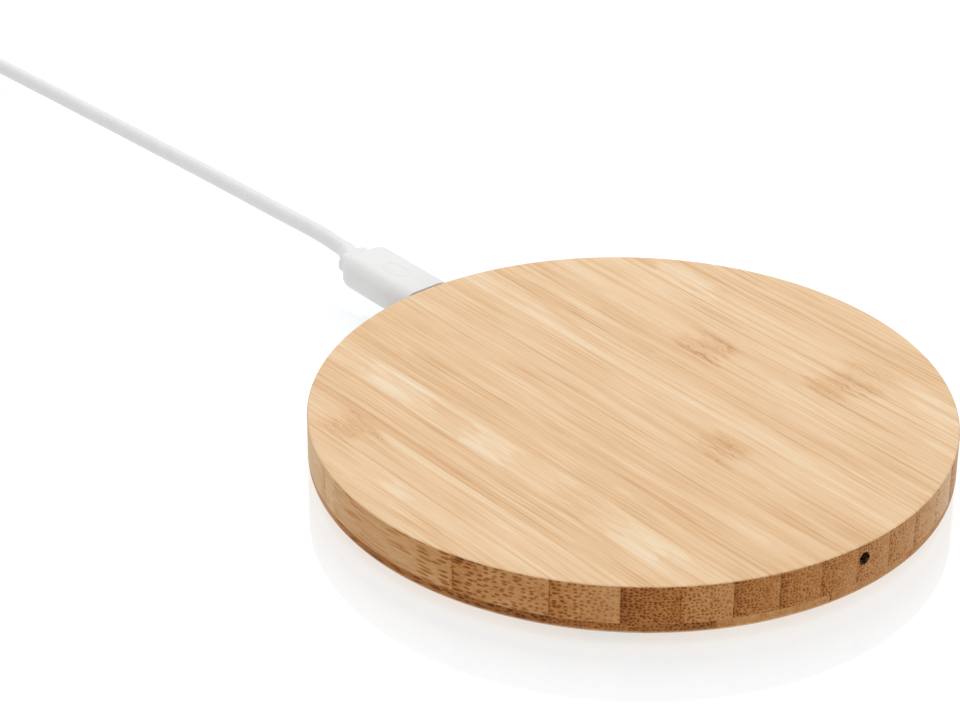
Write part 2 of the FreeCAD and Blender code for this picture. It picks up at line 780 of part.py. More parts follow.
def make_plug_grip():
    """The moulded grip: a rounded block, a stepped collar and a short boot."""
    body = plain_body("plug_overmold")
    section = sketch_on(body, "section", "XZ_Plane", "-grip_front")
    add_rectangle(section, "grip_width", "grip_height", "0", "port_height")
    pad = feature_on(body, "Pad", "block", section, "grip_length", True)
    rounded = dress(body, "Fillet", "long_edges", pad, along_y, "grip_edge")
    rear = size("grip_front") + size("grip_length")
    dress(body, "Fillet", "rear_edge", rounded, at_y(rear), "grip_end_edge")
    outline = sketch_on(body, "socket", "XZ_Plane", "-grip_front")
    add_usb_outline(outline, "plug_width", "plug_height", "plug_corner", "0", "port_height")
    feature_on(body, "Pocket", "shell_socket", outline, "plug_embed")
    step = sketch_on(body, "step", "XZ_Plane", "-(grip_front + grip_length)")
    half_width, half_height = "collar_width / 2", "collar_height / 2"
    corner = "collar_edge"
    add_polygon(step, [
        ("-%s + %s" % (half_width, corner), "port_height - " + half_height),
        ("%s - %s" % (half_width, corner), "port_height - " + half_height),
        (half_width, "port_height - %s + %s" % (half_height, corner)),
        (half_width, "port_height + %s - %s" % (half_height, corner)),
        ("%s - %s" % (half_width, corner), "port_height + " + half_height),
        ("-%s + %s" % (half_width, corner), "port_height + " + half_height),
        ("-" + half_width, "port_height + %s - %s" % (half_height, corner)),
        ("-" + half_width, "port_height - %s + %s" % (half_height, corner)),
    ])
    feature_on(body, "Pad", "collar", step, "collar_length", True)
    boot = body.newObject("PartDesign::AdditiveCone", "plug_boot")
    bind(boot, Radius1="boot_radius", Radius2="boot_tip_radius",
         Height="boot_length + collar_length")
    boot.AttachmentOffset = Placement(Vector(), Rotation(Vector(1, 0, 0), -90))
    boot.AttachmentSupport = [(origin_plane(body, "XY_Plane"), "")]
    boot.MapMode = "FlatFace"
    boot.setExpression(".AttachmentOffset.Base.y", bound("grip_front + grip_length"))
    boot.setExpression(".AttachmentOffset.Base.z", bound("port_height"))
    body.Tip = boot
    doc.recompute()


# --- cord and USB-A plug -------------------------------------------------

def make_cord():
    radius = size("cord_radius")
    lead = route_wire("cord_tube", CORD_ROUTE)
    shaped("cord_tube", swept("cord_tube", lead, radius))
    tail = route_wire("cord_tail", TAIL_ROUTE)
    shaped("cord_tail", swept("cord_tail", tail, radius))


def make_cord_coil():
    """The outer shape of the wound length, and the tie round it."""
    body = plain_body("cord_coil")
    section = sketch_on(body, "section", "XZ_Plane")
    add_rectangle(section, "cord_coil_section", "cord_coil_section",
                  "cord_coil_mid_radius", "cord_coil_lift + cord_coil_section / 2")
    turn = body.newObject("PartDesign::Revolution", "cord_coil_turn")
    turn.Profile = section
    turn.ReferenceAxis = (section, ["V_Axis"])
    turn.Angle = 360
    body.Tip = turn
    doc.recompute()
    dress(body, "Fillet", "edges", turn, lambda edge: isinstance(edge.Curve, Part.Circle),
          "cord_coil_edge")
    move(body, "cord_coil_x", "cord_coil_y")
    hole_size = "(cord_coil_section + 2 * tie_gap)"
    outer_size = "(cord_coil_section + 2 * tie_gap + 2 * tie_thickness)"
    middle_y = "cord_coil_y - cord_coil_mid_radius"
    outer = block("tie_outer", "tie_width", outer_size,
                  "cord_coil_section + cord_coil_lift + tie_thickness",
                  "cord_coil_x", middle_y, "0")
    inner = block("tie_inner", "tie_width", hole_size, "cord_coil_section",
                  "cord_coil_x", middle_y, "cord_coil_lift")
    keep(cut("cord_tie", outer, inner))


def make_host_plug():
    """The USB-A plug, lying flat beside the coil and pointing along -Y."""
    grip_rear = size("host_boot_start") - size("host_boot_length")
    grip_front = grip_rear - size("host_grip_length")
    body = plain_body("host_overmold")
    rear = "(host_boot_start - host_boot_length)"
    front = "(host_boot_start - host_boot_length - host_grip_length)"
    section = sketch_on(body, "section", "XZ_Plane", "-" + rear)
    add_rectangle(section, "host_grip_width", "host_grip_height", "host_x", "host_axis_height")
    pad = feature_on(body, "Pad", "block", section, "host_grip_length")
    rounded = dress(body, "Fillet", "long_edges", pad, along_y, "host_grip_edge")

    def at_either_end(edge):
        return at_y(grip_rear)(edge) or at_y(grip_front)(edge)

    dress(body, "Fillet", "end_edges", rounded, at_either_end, "host_grip_end_edge")
    boot = named("Part::Cone", "host_boot")
    bind(boot, Radius1="host_boot_tip_radius", Radius2="host_boot_radius",
         Height="host_boot_length")
    boot.Placement = Placement(Vector(), Rotation(Vector(1, 0, 0), 90))
    move(boot, "host_x", "host_boot_start", "host_axis_height")
    keep(boot)
    boot.Label = "host_strain_relief"
    length, wall = "host_shell_length", "host_shell_wall"
    middle = front + " - host_shell_length / 2"
    low = "host_axis_height - host_shell_height / 2"
    outer = block("host_shell_outer", "host_shell_width", length, "host_shell_height",
                  "host_x", middle, low)
    inner = block("host_shell_inner", "host_shell_width - 2 * " + wall, length,
                  "host_shell_height - 2 * " + wall, "host_x", middle, low + " + " + wall)
    windows = [inner]
    for side in ("-", "+"):
        windows.append(block("host_window_" + ("left" if side == "-" else "right"),
                             "host_window_size", "host_window_size", "host_shell_height",
                             "host_x %s host_window_spacing / 2" % side,
                             front + " - host_shell_length + host_window_setback", low))
    keep(cut("host_shell", outer, fuse("host_shell_spaces", windows)))
    tongue_length = "(host_shell_length - host_tongue_setback)"
    keep(block("host_tongue", "host_shell_width - 2 * " + wall, tongue_length,
               "host_tongue_thickness", "host_x", front + " - %s / 2" % tongue_length,
               low + " + " + wall))
    contact_start = front + " - host_shell_length + host_contact_setback"
    contact_strips("host_contacts", 4, "host_contact_pitch", "host_contact_width",
                   "contact_thickness", contact_start, contact_start + " + host_contact_length",
                   low + " + " + wall + " + host_tongue_thickness", "host_x")


make_top_shell()
make_base_plate()
make_base_screws()
make_feet()
make_circuit_board()
make_board_tape()
make_components()
make_led()
make_coil_support()
make_transmit_coil()
make_wires()
make_receptacle()
make_plug()
make_plug_grip()
make_cord()
make_cord_coil()
make_host_plug()
doc.recompute()

for thing in doc.Objects:
    if "Invalid" in thing.State or "Error" in thing.State:
        raise RuntimeError("%s did not rebuild" % thing.Label)

os.makedirs("parts", exist_ok=True)
for thing in subparts:
    shape = thing.Shape
    if shape.isNull() or not shape.isValid() or not shape.Solids:
        raise RuntimeError("%s has no sound solid" % thing.Label)
    shape.exportStep("parts/%s.step" % thing.Label)
    print("%-24s solids %2d volume %10.3f" % (thing.Label, len(shape.Solids), shape.Volume))
print(len(subparts), "nodes")
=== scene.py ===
import math

import bmesh
import bpy
from mathutils import Matrix, Vector


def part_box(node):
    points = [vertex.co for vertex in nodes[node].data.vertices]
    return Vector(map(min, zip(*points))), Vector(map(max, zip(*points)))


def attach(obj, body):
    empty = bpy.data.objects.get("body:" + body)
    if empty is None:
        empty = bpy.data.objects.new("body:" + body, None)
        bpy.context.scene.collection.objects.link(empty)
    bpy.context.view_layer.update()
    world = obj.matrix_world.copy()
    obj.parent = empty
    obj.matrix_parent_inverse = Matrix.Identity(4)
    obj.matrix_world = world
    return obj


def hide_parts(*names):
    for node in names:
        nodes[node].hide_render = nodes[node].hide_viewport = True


# Round bamboo wireless charging pad with its white micro-USB lead.
# Metres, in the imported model's frame: +Z is up and the lead leaves along +Y.

MM = 0.001
CIRCLE_STEPS = 384
SHARP_ANGLE = math.radians(32)

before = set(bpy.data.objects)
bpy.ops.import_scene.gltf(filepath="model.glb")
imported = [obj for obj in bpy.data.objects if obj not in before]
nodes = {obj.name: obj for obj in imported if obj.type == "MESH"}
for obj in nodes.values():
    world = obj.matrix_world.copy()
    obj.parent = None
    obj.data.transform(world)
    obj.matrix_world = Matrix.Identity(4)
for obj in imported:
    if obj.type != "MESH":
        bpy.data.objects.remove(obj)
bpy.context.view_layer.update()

# --- sizes from the frame ------------------------------------------------

shell_low, shell_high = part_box("top_shell")
plate_low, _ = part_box("base_plate")
PAD_RADIUS = shell_high.x
PAD_TOP = shell_high.z
SEAM = shell_low.z
PLATE_BOTTOM = plate_low.z

CAVITY_RADIUS = 46.5 * MM
CEILING = 8.3 * MM
TOP_ROUND = 0.32 * MM
LOWER_ROUND = 1.7 * MM
SEAM_GROOVE = 0.07 * MM
SCREW_CIRCLE = 42 * MM
BOSS_RADIUS = 5 * MM
SCREW_RADIUS = 1 * MM
SCREW_HEAD_RADIUS = 1.9 * MM
SCREW_LENGTH = 5.4 * MM
PORT_HEIGHT = 6.6 * MM
SLOT_HALF_WIDTH = 4.5 * MM
SLOT_HALF_HEIGHT = 1.65 * MM
LED_HOLE_RADIUS = 1 * MM
LED_HOLE_HEIGHT = 7.55 * MM

# --- sizes of the lead ---------------------------------------------------

CORD_RADIUS = 1.4 * MM
COIL_CENTRE = (-19 * MM, 214 * MM)
COIL_MID_RADIUS = 15.4 * MM
COIL_TURN_POINTS = 24
COIL_FIRST_HEIGHT = 1.7 * MM
COIL_SLOTS = [(1, 0), (0, 0), (-1, 0), (-1, 1), (-1, 2), (0, 2), (0, 1), (1, 1), (1, 2)]
COIL_DELAYS = [5, 5, 4, 4, 3, 2, 1, 0]
COIL_SHIFT_START = 195
COIL_SHIFT_STEP = 23
COIL_SHIFT_WIDTH = 46

CORD_ROUTE = [(0.65, 73.0, 6.75), (1.3, 80.5, 6.85), (1.0, 93.0, 6.42), (0.85, 112.0, 5.85),
              (0.55, 138.0, 4.85), (-0.2, 166.0, 4.0), (-0.7, 190.0, 3.1), (-0.85, 204.0, 2.05),
              (-0.8, 214.0, 1.7)]
TAIL_ROUTE = [(-37.6, 210.0, 7.2), (-38.7, 203.5, 5.4), (-39.6, 196.0, 4.0)]


# --- material nodes ------------------------------------------------------

class Recipe:
    """A procedural material. Each method adds a node and returns its output socket."""

    def __init__(self, name, **constants):
        self.material = bpy.data.materials.new(name)
        self.material.use_nodes = True
        self.tree = self.material.node_tree
        self.shader = self.tree.nodes["Principled BSDF"]
        for socket, value in constants.items():
            self.shader.inputs[socket.replace("_", " ")].default_value = value
        place = self.tree.nodes.new("ShaderNodeTexCoord")
        self.normal = place.outputs["Normal"]
        scaled = self.tree.nodes.new("ShaderNodeVectorMath")
        scaled.operation = "SCALE"
        scaled.inputs["Scale"].default_value = 1 / MM
        self.feed(scaled.inputs[0], place.outputs["Object"])
        self.mm = scaled.outputs[0]

    def feed(self, socket, value):
        """Link a socket to an output, or set the constant that it holds."""
        if isinstance(value, bpy.types.NodeSocket):
            self.tree.links.new(value, socket)
        else:
            socket.default_value = value

    def math(self, operation, *values, clamp=False):
        node = self.tree.nodes.new("ShaderNodeMath")
        node.operation = operation
        node.use_clamp = clamp
        for socket, value in zip(node.inputs, values):
            self.feed(socket, value)
        return node.outputs[0]

    def split(self, vector):
        node = self.tree.nodes.new("ShaderNodeSeparateXYZ")
        self.feed(node.inputs[0], vector)
        return node.outputs[0], node.outputs[1], node.outputs[2]

    def join(self, x, y, z):
        node = self.tree.nodes.new("ShaderNodeCombineXYZ")
        for socket, value in zip(node.inputs, (x, y, z)):
            self.feed(socket, value)
        return node.outputs[0]

    def stretch(self, x_size, y_size, z_size, seed=0.0):
        """Coordinates in which a feature of these sizes, in millimetres, is one unit."""
        node = self.tree.nodes.new("ShaderNodeMapping")
        self.feed(node.inputs["Vector"], self.mm)
        node.inputs["Scale"].default_value = (1 / x_size, 1 / y_size, 1 / z_size)
        node.inputs["Location"].default_value = (seed, seed * 1.7, seed * 2.3)
        return node.outputs[0]

    def noise(self, vector, detail=2.0, roughness=0.5, distortion=0.0):
        node = self.tree.nodes.new("ShaderNodeTexNoise")
        self.feed(node.inputs["Vector"], vector)
        node.inputs["Scale"].default_value = 1.0
        node.inputs["Detail"].default_value = detail
        node.inputs["Roughness"].default_value = roughness
        node.inputs["Distortion"].default_value = distortion
        return node.outputs["Fac"]

    def random(self, value):
        """A constant random number for each whole value."""
        node = self.tree.nodes.new("ShaderNodeTexWhiteNoise")
        node.noise_dimensions = "1D"
        self.feed(node.inputs["W"], value)
        return node.outputs["Value"]

    def cells(self, vector, dimensions="3D", feature="F1", randomness=1.0):
        """A Voronoi texture's distance and the random colour of each cell."""
        node = self.tree.nodes.new("ShaderNodeTexVoronoi")
        node.voronoi_dimensions = dimensions
        node.feature = feature
        self.feed(node.inputs["Vector"], vector)
        node.inputs["Scale"].default_value = 1.0
        node.inputs["Randomness"].default_value = randomness
        return node.outputs["Distance"], node.outputs.get("Color")

    def between(self, value, low, high):
        """0 at low and 1 at high, smooth between them."""
        node = self.tree.nodes.new("ShaderNodeMapRange")
        node.interpolation_type = "SMOOTHSTEP"
        self.feed(node.inputs["Value"], value)
        node.inputs["From Min"].default_value = low
        node.inputs["From Max"].default_value = high
        return node.outputs["Result"]

    def ramp(self, value, stops, interpolation="LINEAR"):
        """Colours at places from 0 to 1."""
        node = self.tree.nodes.new("ShaderNodeValToRGB")
        node.color_ramp.interpolation = interpolation
        elements = node.color_ramp.elements
        elements.remove(elements[1])
        elements[0].position = stops[0][0]
        elements[0].color = (*stops[0][1], 1)
        for place, colour in stops[1:]:
            elements.new(place).color = (*colour, 1)
        self.feed(node.inputs["Fac"], value)
        return node.outputs["Color"]

    def steps(self, number, first, levels):
        """One level for each whole number from first on."""
        count = len(levels)
        place = self.math("MULTIPLY_ADD", number, 1 / count, (0.5 - first) / count)
        stops = [(k / count, (level, level, level)) for k, level in enumerate(levels)]
        return self.ramp(place, stops, "CONSTANT")

    def mix(self, amount, one, other):
        node = self.tree.nodes.new("ShaderNodeMix")
        node.data_type = "RGBA"
        self.feed(node.inputs["Factor"], amount)
        self.feed(node.inputs[6], one)
        self.feed(node.inputs[7], other)
        return node.outputs[2]

    def total(self, start, *terms):
        """start plus each output times its weight."""
        result = start
        for output, weight in terms:
            result = self.math("MULTIPLY_ADD", output, weight, result)
        return result

    def bump(self, height, depth, strength=1.0):
        """Relief of this depth in millimetres."""
        node = self.tree.nodes.new("ShaderNodeBump")
        node.inputs["Strength"].default_value = strength
        node.inputs["Distance"].default_value = depth * MM
        self.feed(node.inputs["Height"], height)
        self.feed(self.shader.inputs["Normal"], node.outputs["Normal"])

    def colour(self, value):
        self.feed(self.shader.inputs["Base Color"], value)

    def roughness(self, value):
        self.feed(self.shader.inputs["Roughness"], value)


# --- materials -----------------------------------------------------------

# Colours of the planed face and of the cut edge, from the darkest fibre to the palest.
FACE_TONES = [(0.0, (0.46, 0.24, 0.11)), (0.25, (0.675, 0.415, 0.212)),
              (0.5, (0.775, 0.535, 0.315)), (0.75, (0.825, 0.635, 0.425)),
              (1.0, (0.86, 0.73, 0.55))]
RED_FIBRE = (0.66, 0.345, 0.17, 1)
EDGE_TONES = [(0.0, (0.11, 0.03, 0.003)), (0.25, (0.25, 0.079, 0.012)), (0.5, (0.43, 0.174, 0.045)),
              (0.75, (0.56, 0.305, 0.127)), (1.0, (0.665, 0.445, 0.253))]

# near-black painted shade for the light hole's wall and the lip round it
HOLE_SHADE_COLOUR = (0.012, 0.005, 0.002, 1)

# Taken from the sum of the fibre terms, so that a strip's level is its mean tone.
FACE_BALANCE = 0.765
EDGE_BALANCE = 0.305
RED_SHARE = 0.2
# Distances in millimetres from a strip's border, from the light hole's rim (for its painted shade)
# and along the grain (for the painted sheen), each from where the mark starts to where it is full.
GLUE_LINE = (0.16, 0.03)
HOLE_SHADE_LIP = (0.22, 0.1)
SHEEN_FADE = (3.0, 19.0)
TARNISHED = 0.93

# Strips are numbered along x. Strip 0 starts at the offset and each is one pitch wide, in
# millimetres; the lists start with the strip numbered "first". The outermost strips, below the
# given number, get painted sheen on their cut edge behind the middle: lighter, with the dots faded.
TOP_STRIPS = {
    "pitch": 6.62,
    "offset": 11.9,
    "first": -10,
    "sheen_below": -8.5,
    # tone of the face and of the cut edge, from 0 dark to 1 pale
    "face": [0.5, 0.54, 0.55, 0.44, 0.56, 0.44, 0.47, 0.49, 0.49, 0.58, 0.46, 0.52, 0.56, 0.52,
             0.5],
    # the cut-edge tones of strips -2 to 1 and of strip -10 are raised partly as painted sheen where
    # the side turns away; the rest is the strips' own tone
    "edge": [0.65, 0.58, 0.57, 0.42, 0.6, 0.48, 0.5, 0.53, 0.58, 0.63, 0.7, 0.92, 0.7, 0.58, 0.55],
    # millimetres between fibre bundles, the side where they crowd (0 low x, 1 high x), and
    # how fast they thin out from there
    "bundle": [0.76, 0.62, 0.6, 0.5, 0.54, 0.49, 0.5, 0.51, 0.53, 0.56, 0.58, 0.6, 0.6, 0.6, 0.6],
    "crowded": [1, 0, 0, 0, 0, 0, 0, 0, 0, 0, 0, 0, 0, 0, 0],
    "thinning": [2.0, 0.4, 0.8, 0.25, 0.5, 0.6, 0.6, 0.7, 0.7, 0.75, 0.9, 0.9, 0.9, 0.9, 0.9],
    # strip, place along the grain and half length in millimetres, strength
    "knots": [(3, -15.5, 7.0, 0.7), (2, -15.5, 6.0, 1.0), (1, 6.6, 7.5, 1.0),
              (-2, -18.6, 6.5, 0.8), (-6, -15.5, 7.0, 0.6), (-8, 21.7, 6.0, 0.9)],
    "pale": [(-6, 30.0, 13.0, 0.9), (-6, 3.6, 8.5, 0.9), (-6, -30.0, 8.5, 1.0),
             (3, 26.5, 12.0, 0.7), (3, -32.0, 11.0, 0.5), (-9, 5.0, 14.0, 0.4)],
}

PLATE_STRIPS = {
    "pitch": 17.3,
    "offset": -23.5,
    "first": -2,
    "sheen_below": -1.5,
    "face": [0.42, 0.4, 0.5, 0.52, 0.5, 0.46],
    "edge": [0.28, 0.36, 0.5, 0.5, 0.5, 0.5],
    "bundle": [0.6, 0.5, 0.52, 0.58, 0.6, 0.6],
    "crowded": [1, 1, 0, 0, 0, 0],
    "thinning": [0.8, 0.5, 40.0, 40.0, 40.0, 40.0],
    "knots": [(-1, 12.0, 7.0, 0.8), (1, -24.0, 7.0, 0.8)],
    "pale": [(0, 20.0, 14.0, 0.6)],
}


def make_bamboo(name, strips, seed):
    """Glued bamboo strips: long fibres on the faces, dark fibre bundles on the cut edge, painted
    sheen on parts of the cut edge and painted shade in the light hole.
    """
    recipe = Recipe(name, Specular_IOR_Level=0.14, Sheen_Weight=0.08, Sheen_Roughness=0.25)
    pitch, first = strips["pitch"], strips["first"]
    x, y, z = recipe.split(recipe.mm)
    strip = recipe.math("MULTIPLY_ADD", x, 1 / pitch, -strips["offset"] / pitch)
    number = recipe.math("FLOOR", strip)
    across = recipe.math("FRACT", strip)
    middle = recipe.math("ABSOLUTE", recipe.math("SUBTRACT", across, 0.5))
    chance = recipe.random(number)

    def by_strip(key):
        return recipe.steps(number, first, strips[key])

    # ragged ends, so that no knot or patch stops at a straight line
    ragged = recipe.noise(recipe.stretch(0.9, 9.0, 0.9, seed + 2), 2.0)
    ragged_y = recipe.total(y, (recipe.math("SUBTRACT", ragged, 0.5), 13.0))

    def marks(places):
        amount = 0.0
        for place, along, half_length, strength in places:
            here = recipe.math("COMPARE", number, float(place), 0.5)
            away = recipe.math("ABSOLUTE", recipe.math("SUBTRACT", ragged_y, along))
            near = recipe.between(away, half_length, half_length * 0.25)
            mark = recipe.math("MULTIPLY", here, near)
            amount = recipe.math("MULTIPLY_ADD", mark, strength, amount)
        return amount

    knot = marks(strips["knots"])
    torn = recipe.noise(recipe.stretch(1.8, 13.0, 1.8, seed + 17), 3.0, 0.55)
    pale = recipe.total(marks(strips["pale"]), (recipe.math("SUBTRACT", torn, 0.5), 2.6))
    pale = recipe.math("MULTIPLY", recipe.between(pale, 0.3, 0.85),
                       recipe.between(middle, 0.5, 0.36))

    # fibres: noise drawn out along the grain, broken at each strip's edge
    sway = recipe.noise(recipe.stretch(9.0, 26.0, 9.0, seed), 1.0)
    swirl = recipe.noise(recipe.stretch(2.2, 3.0, 2.2, seed + 4), 2.0)
    shift = recipe.math("MULTIPLY", recipe.math("SUBTRACT", swirl, 0.5), knot)
    fibre_x = recipe.total(x, (sway, 1.0), (shift, 2.4))
    fibre_y = recipe.total(y, (number, 61.0), (knot, 2.5))

    def fibres(width, length, detail):
        place = recipe.join(recipe.math("MULTIPLY", fibre_x, 1 / width),
                            recipe.math("MULTIPLY", fibre_y, 1 / length),
                            recipe.math("MULTIPLY", z, 1 / width))
        return recipe.noise(place, detail, 0.55)

    band = fibres(1.7, 50.0, 1.0)
    streak = fibres(0.5, 30.0, 2.0)
    hair = fibres(0.2, 18.0, 2.0)
    cloud = fibres(5.0, 16.0, 2.0)
    lively = recipe.between(fibres(3.2, 55.0, 1.0), 0.4, 0.62)
    lines = recipe.math("MULTIPLY", recipe.math("SUBTRACT", streak, 0.5),
                        recipe.math("MULTIPLY_ADD", lively, 0.5, 0.34))
    vein = recipe.between(fibres(0.55, 75.0, 0.0), 0.6, 0.74)
    blush = recipe.between(fibres(0.8, 60.0, 1.0), 0.52, 0.7)

    # the thin glue line and the darker outer skin beside it
    line = recipe.between(middle, 0.5 - GLUE_LINE[0] / pitch, 0.5 - GLUE_LINE[1] / pitch)
    line = recipe.math("MULTIPLY", line, recipe.math("MULTIPLY_ADD", chance, 0.8, 0.15))
    skin = recipe.between(across, 0.25, 0.0)

    level = by_strip("face")
    mottle = recipe.noise(recipe.stretch(0.6, 1.1, 0.6, seed + 9), 3.0, 0.6, 1.5)
    scar = recipe.math("MULTIPLY", knot, recipe.between(mottle, 0.52, 0.74))
    stain = recipe.math("MULTIPLY", knot, recipe.math("ADD", streak, 0.4))
    face = recipe.total(level, (band, 0.42), (lines, 0.9), (hair, 0.8), (cloud, 0.3),
                        (pale, 0.22), (stain, -0.24), (scar, -0.2), (vein, -0.12),
                        (line, -0.15), (skin, -0.05))
    face = recipe.math("SUBTRACT", face, FACE_BALANCE)
    face_colour = recipe.ramp(face, FACE_TONES)
    face_colour = recipe.mix(recipe.math("MULTIPLY", blush, RED_SHARE), face_colour, RED_FIBRE)

    # fibre bundles: columns along the grain, so the cut edge shows their ends as dots
    # and the side along the grain shows them as dashes
    drift = recipe.noise(recipe.stretch(30.0, 9.0, 30.0, seed + 13), 2.0)
    rise = recipe.noise(recipe.stretch(30.0, 8.0, 30.0, seed + 21), 2.0)
    closeness = recipe.math("DIVIDE", 1.0, by_strip("bundle"))
    bundle_x = recipe.total(x, (drift, 1.3))
    bundle_z = recipe.total(z, (rise, 1.5), (number, 17.0))
    distance, shade = recipe.cells(recipe.join(recipe.math("MULTIPLY", bundle_x, closeness),
                                               recipe.math("MULTIPLY", bundle_z, closeness),
                                               0.0), "2D", randomness=0.72)
    shade = recipe.split(shade)[0]
    outward = recipe.math("ABSOLUTE", recipe.math("SUBTRACT", across, by_strip("crowded")))
    thinned = recipe.math("MULTIPLY", outward, by_strip("thinning"))
    thinned = recipe.math("SUBTRACT", 1.0, thinned, clamp=True)
    size = recipe.total(0.19, (thinned, 0.1), (shade, 0.08))
    dot = recipe.between(recipe.math("DIVIDE", distance, size), 1.25, 0.65)
    dot = recipe.math("MULTIPLY", dot, recipe.math("MULTIPLY_ADD", shade, 0.35, 0.65))
    dot = recipe.math("MULTIPLY", dot, recipe.math("MULTIPLY_ADD", thinned, 0.65, 0.35))
    # behind the middle the outermost strips' cut edge is painted lighter, with its dots faded:
    # painted sheen where the side turns away
    painted_sheen = recipe.math("MULTIPLY", recipe.math("LESS_THAN", number, strips["sheen_below"]),
                       recipe.between(y, *SHEEN_FADE))
    dot = recipe.math("MULTIPLY", dot, recipe.math("SUBTRACT", 1.0, painted_sheen))
    _, normal_y, normal_z = recipe.split(recipe.normal)
    end = recipe.between(recipe.math("ABSOLUTE", normal_y), 0.0, 0.9)
    wall = recipe.between(recipe.math("ABSOLUTE", normal_z), 0.85, 0.25)
    # the edge levels of some strips, and the lift behind the middle, carry painted sheen
    edge = recipe.total(by_strip("edge"), (band, 0.25), (streak, 0.35), (hair, 0.2), (mottle, 0.2),
                        (dot, -0.4), (painted_sheen, 0.36), (end, -0.06), (thinned, -0.16),
                        (skin, -0.08), (line, -0.16))
    edge = recipe.math("SUBTRACT", edge, EDGE_BALANCE)
    edge_colour = recipe.ramp(edge, EDGE_TONES)

    # the light hole's wall and a thin lip round it are painted near-black: painted shade in the
    # deep hole
    around = recipe.math("POWER", recipe.math("SUBTRACT", z, LED_HOLE_HEIGHT / MM), 2.0)
    around = recipe.math("SQRT", recipe.math("MULTIPLY_ADD", x, x, around))
    painted_hole_shade = recipe.total(around, (mottle, 0.25))
    rim = LED_HOLE_RADIUS / MM
    painted_hole_shade = recipe.between(painted_hole_shade, rim + HOLE_SHADE_LIP[0], rim + HOLE_SHADE_LIP[1])
    painted_hole_shade = recipe.math("MULTIPLY", painted_hole_shade, recipe.math("LESS_THAN", y, -CAVITY_RADIUS / MM))
    edge_colour = recipe.mix(painted_hole_shade, edge_colour, HOLE_SHADE_COLOUR)

    recipe.colour(recipe.mix(recipe.math("MAXIMUM", wall, painted_hole_shade), face_colour, edge_colour))
    recipe.roughness(recipe.total(0.42, (streak, 0.14), (wall, 0.06)))
    pits = recipe.math("MULTIPLY", dot, wall)
    recipe.bump(recipe.total(0.0, (streak, 0.5), (hair, 0.3), (vein, -0.5), (line, -0.7),
                             (pits, -0.25), (scar, -0.4)), 0.05, 0.6)
    return recipe.material


def make_moulded(name, colour, roughness, variation=0.03, grain=0.12, depth=0.006, **constants):
    """Moulded plastic or rubber: a faint cloudiness and a fine spark-eroded skin."""
    recipe = Recipe(name, **constants)
    cloud = recipe.noise(recipe.stretch(3.0, 3.0, 3.0, 2.0), 2.0)
    skin = recipe.noise(recipe.stretch(grain, grain, grain, 7.0), 2.0, 0.6)
    dark = tuple(value * (1 - variation) for value in colour)
    light = tuple(min(value * (1 + variation), 1.0) for value in colour)
    recipe.colour(recipe.ramp(cloud, [(0.3, dark), (0.7, light)]))
    recipe.roughness(recipe.total(roughness - 0.08, (skin, 0.12), (cloud, 0.04)))
    recipe.bump(skin, depth, 0.5)
    return recipe.material


def make_metal(name, colour, roughness, brush=(2.5, 2.5, 0.06), depth=0.003):
    """Plated metal: drawn-out scratches and slight tarnish."""
    recipe = Recipe(name, Metallic=1.0)
    scratch = recipe.noise(recipe.stretch(*brush, 3.0), 3.0, 0.6)
    tarnish = recipe.noise(recipe.stretch(1.6, 1.6, 1.6, 5.0), 2.0)
    dull = tuple(value * TARNISHED for value in colour)
    recipe.colour(recipe.ramp(tarnish, [(0.3, dull), (0.65, colour)]))
    recipe.roughness(recipe.total(roughness - 0.08, (scratch, 0.18), (tarnish, 0.06)))
    recipe.bump(scratch, depth, 0.5)
    return recipe.material


def make_laminate(name):
    """Solder mask over copper: paler tracks between darker gaps, and tinned pads."""
    recipe = Recipe(name, Specular_IOR_Level=0.5)
    gap, _ = recipe.cells(recipe.stretch(2.2, 2.2, 2.2), "2D", "DISTANCE_TO_EDGE", 0.7)
    track = recipe.between(gap, 0.06, 0.09)
    weave = recipe.noise(recipe.stretch(0.25, 0.25, 0.25), 1.0)
    hole, _ = recipe.cells(recipe.stretch(2.9, 2.9, 2.9, 11.0), "2D", "F1", 0.9)
    via = recipe.between(hole, 0.12, 0.1)
    mask = recipe.mix(track, (0.012, 0.1, 0.05, 1), (0.03, 0.2, 0.1, 1))
    recipe.colour(recipe.mix(via, mask, (0.6, 0.5, 0.3, 1)))
    recipe.roughness(recipe.total(0.3, (weave, 0.12), (via, -0.1)))
    recipe.bump(recipe.total(0.0, (track, 0.8), (weave, 0.2), (via, -0.6)), 0.03, 0.8)
    return recipe.material


def make_speckled(name, colour, fleck, roughness, size, amount=0.35):
    """Sintered or foamed stuff: small flecks and pits of another tone."""
    recipe = Recipe(name)
    distance, _ = recipe.cells(recipe.stretch(size, size, size))
    cloud = recipe.noise(recipe.stretch(2.0, 2.0, 2.0), 2.0)
    speck = recipe.between(distance, amount + 0.2, amount - 0.1)
    recipe.colour(recipe.mix(recipe.math("MULTIPLY", speck, cloud), (*colour, 1), (*fleck, 1)))
    recipe.roughness(recipe.total(roughness, (cloud, 0.15)))
    recipe.bump(distance, size * 0.3, 0.5)
    return recipe.material


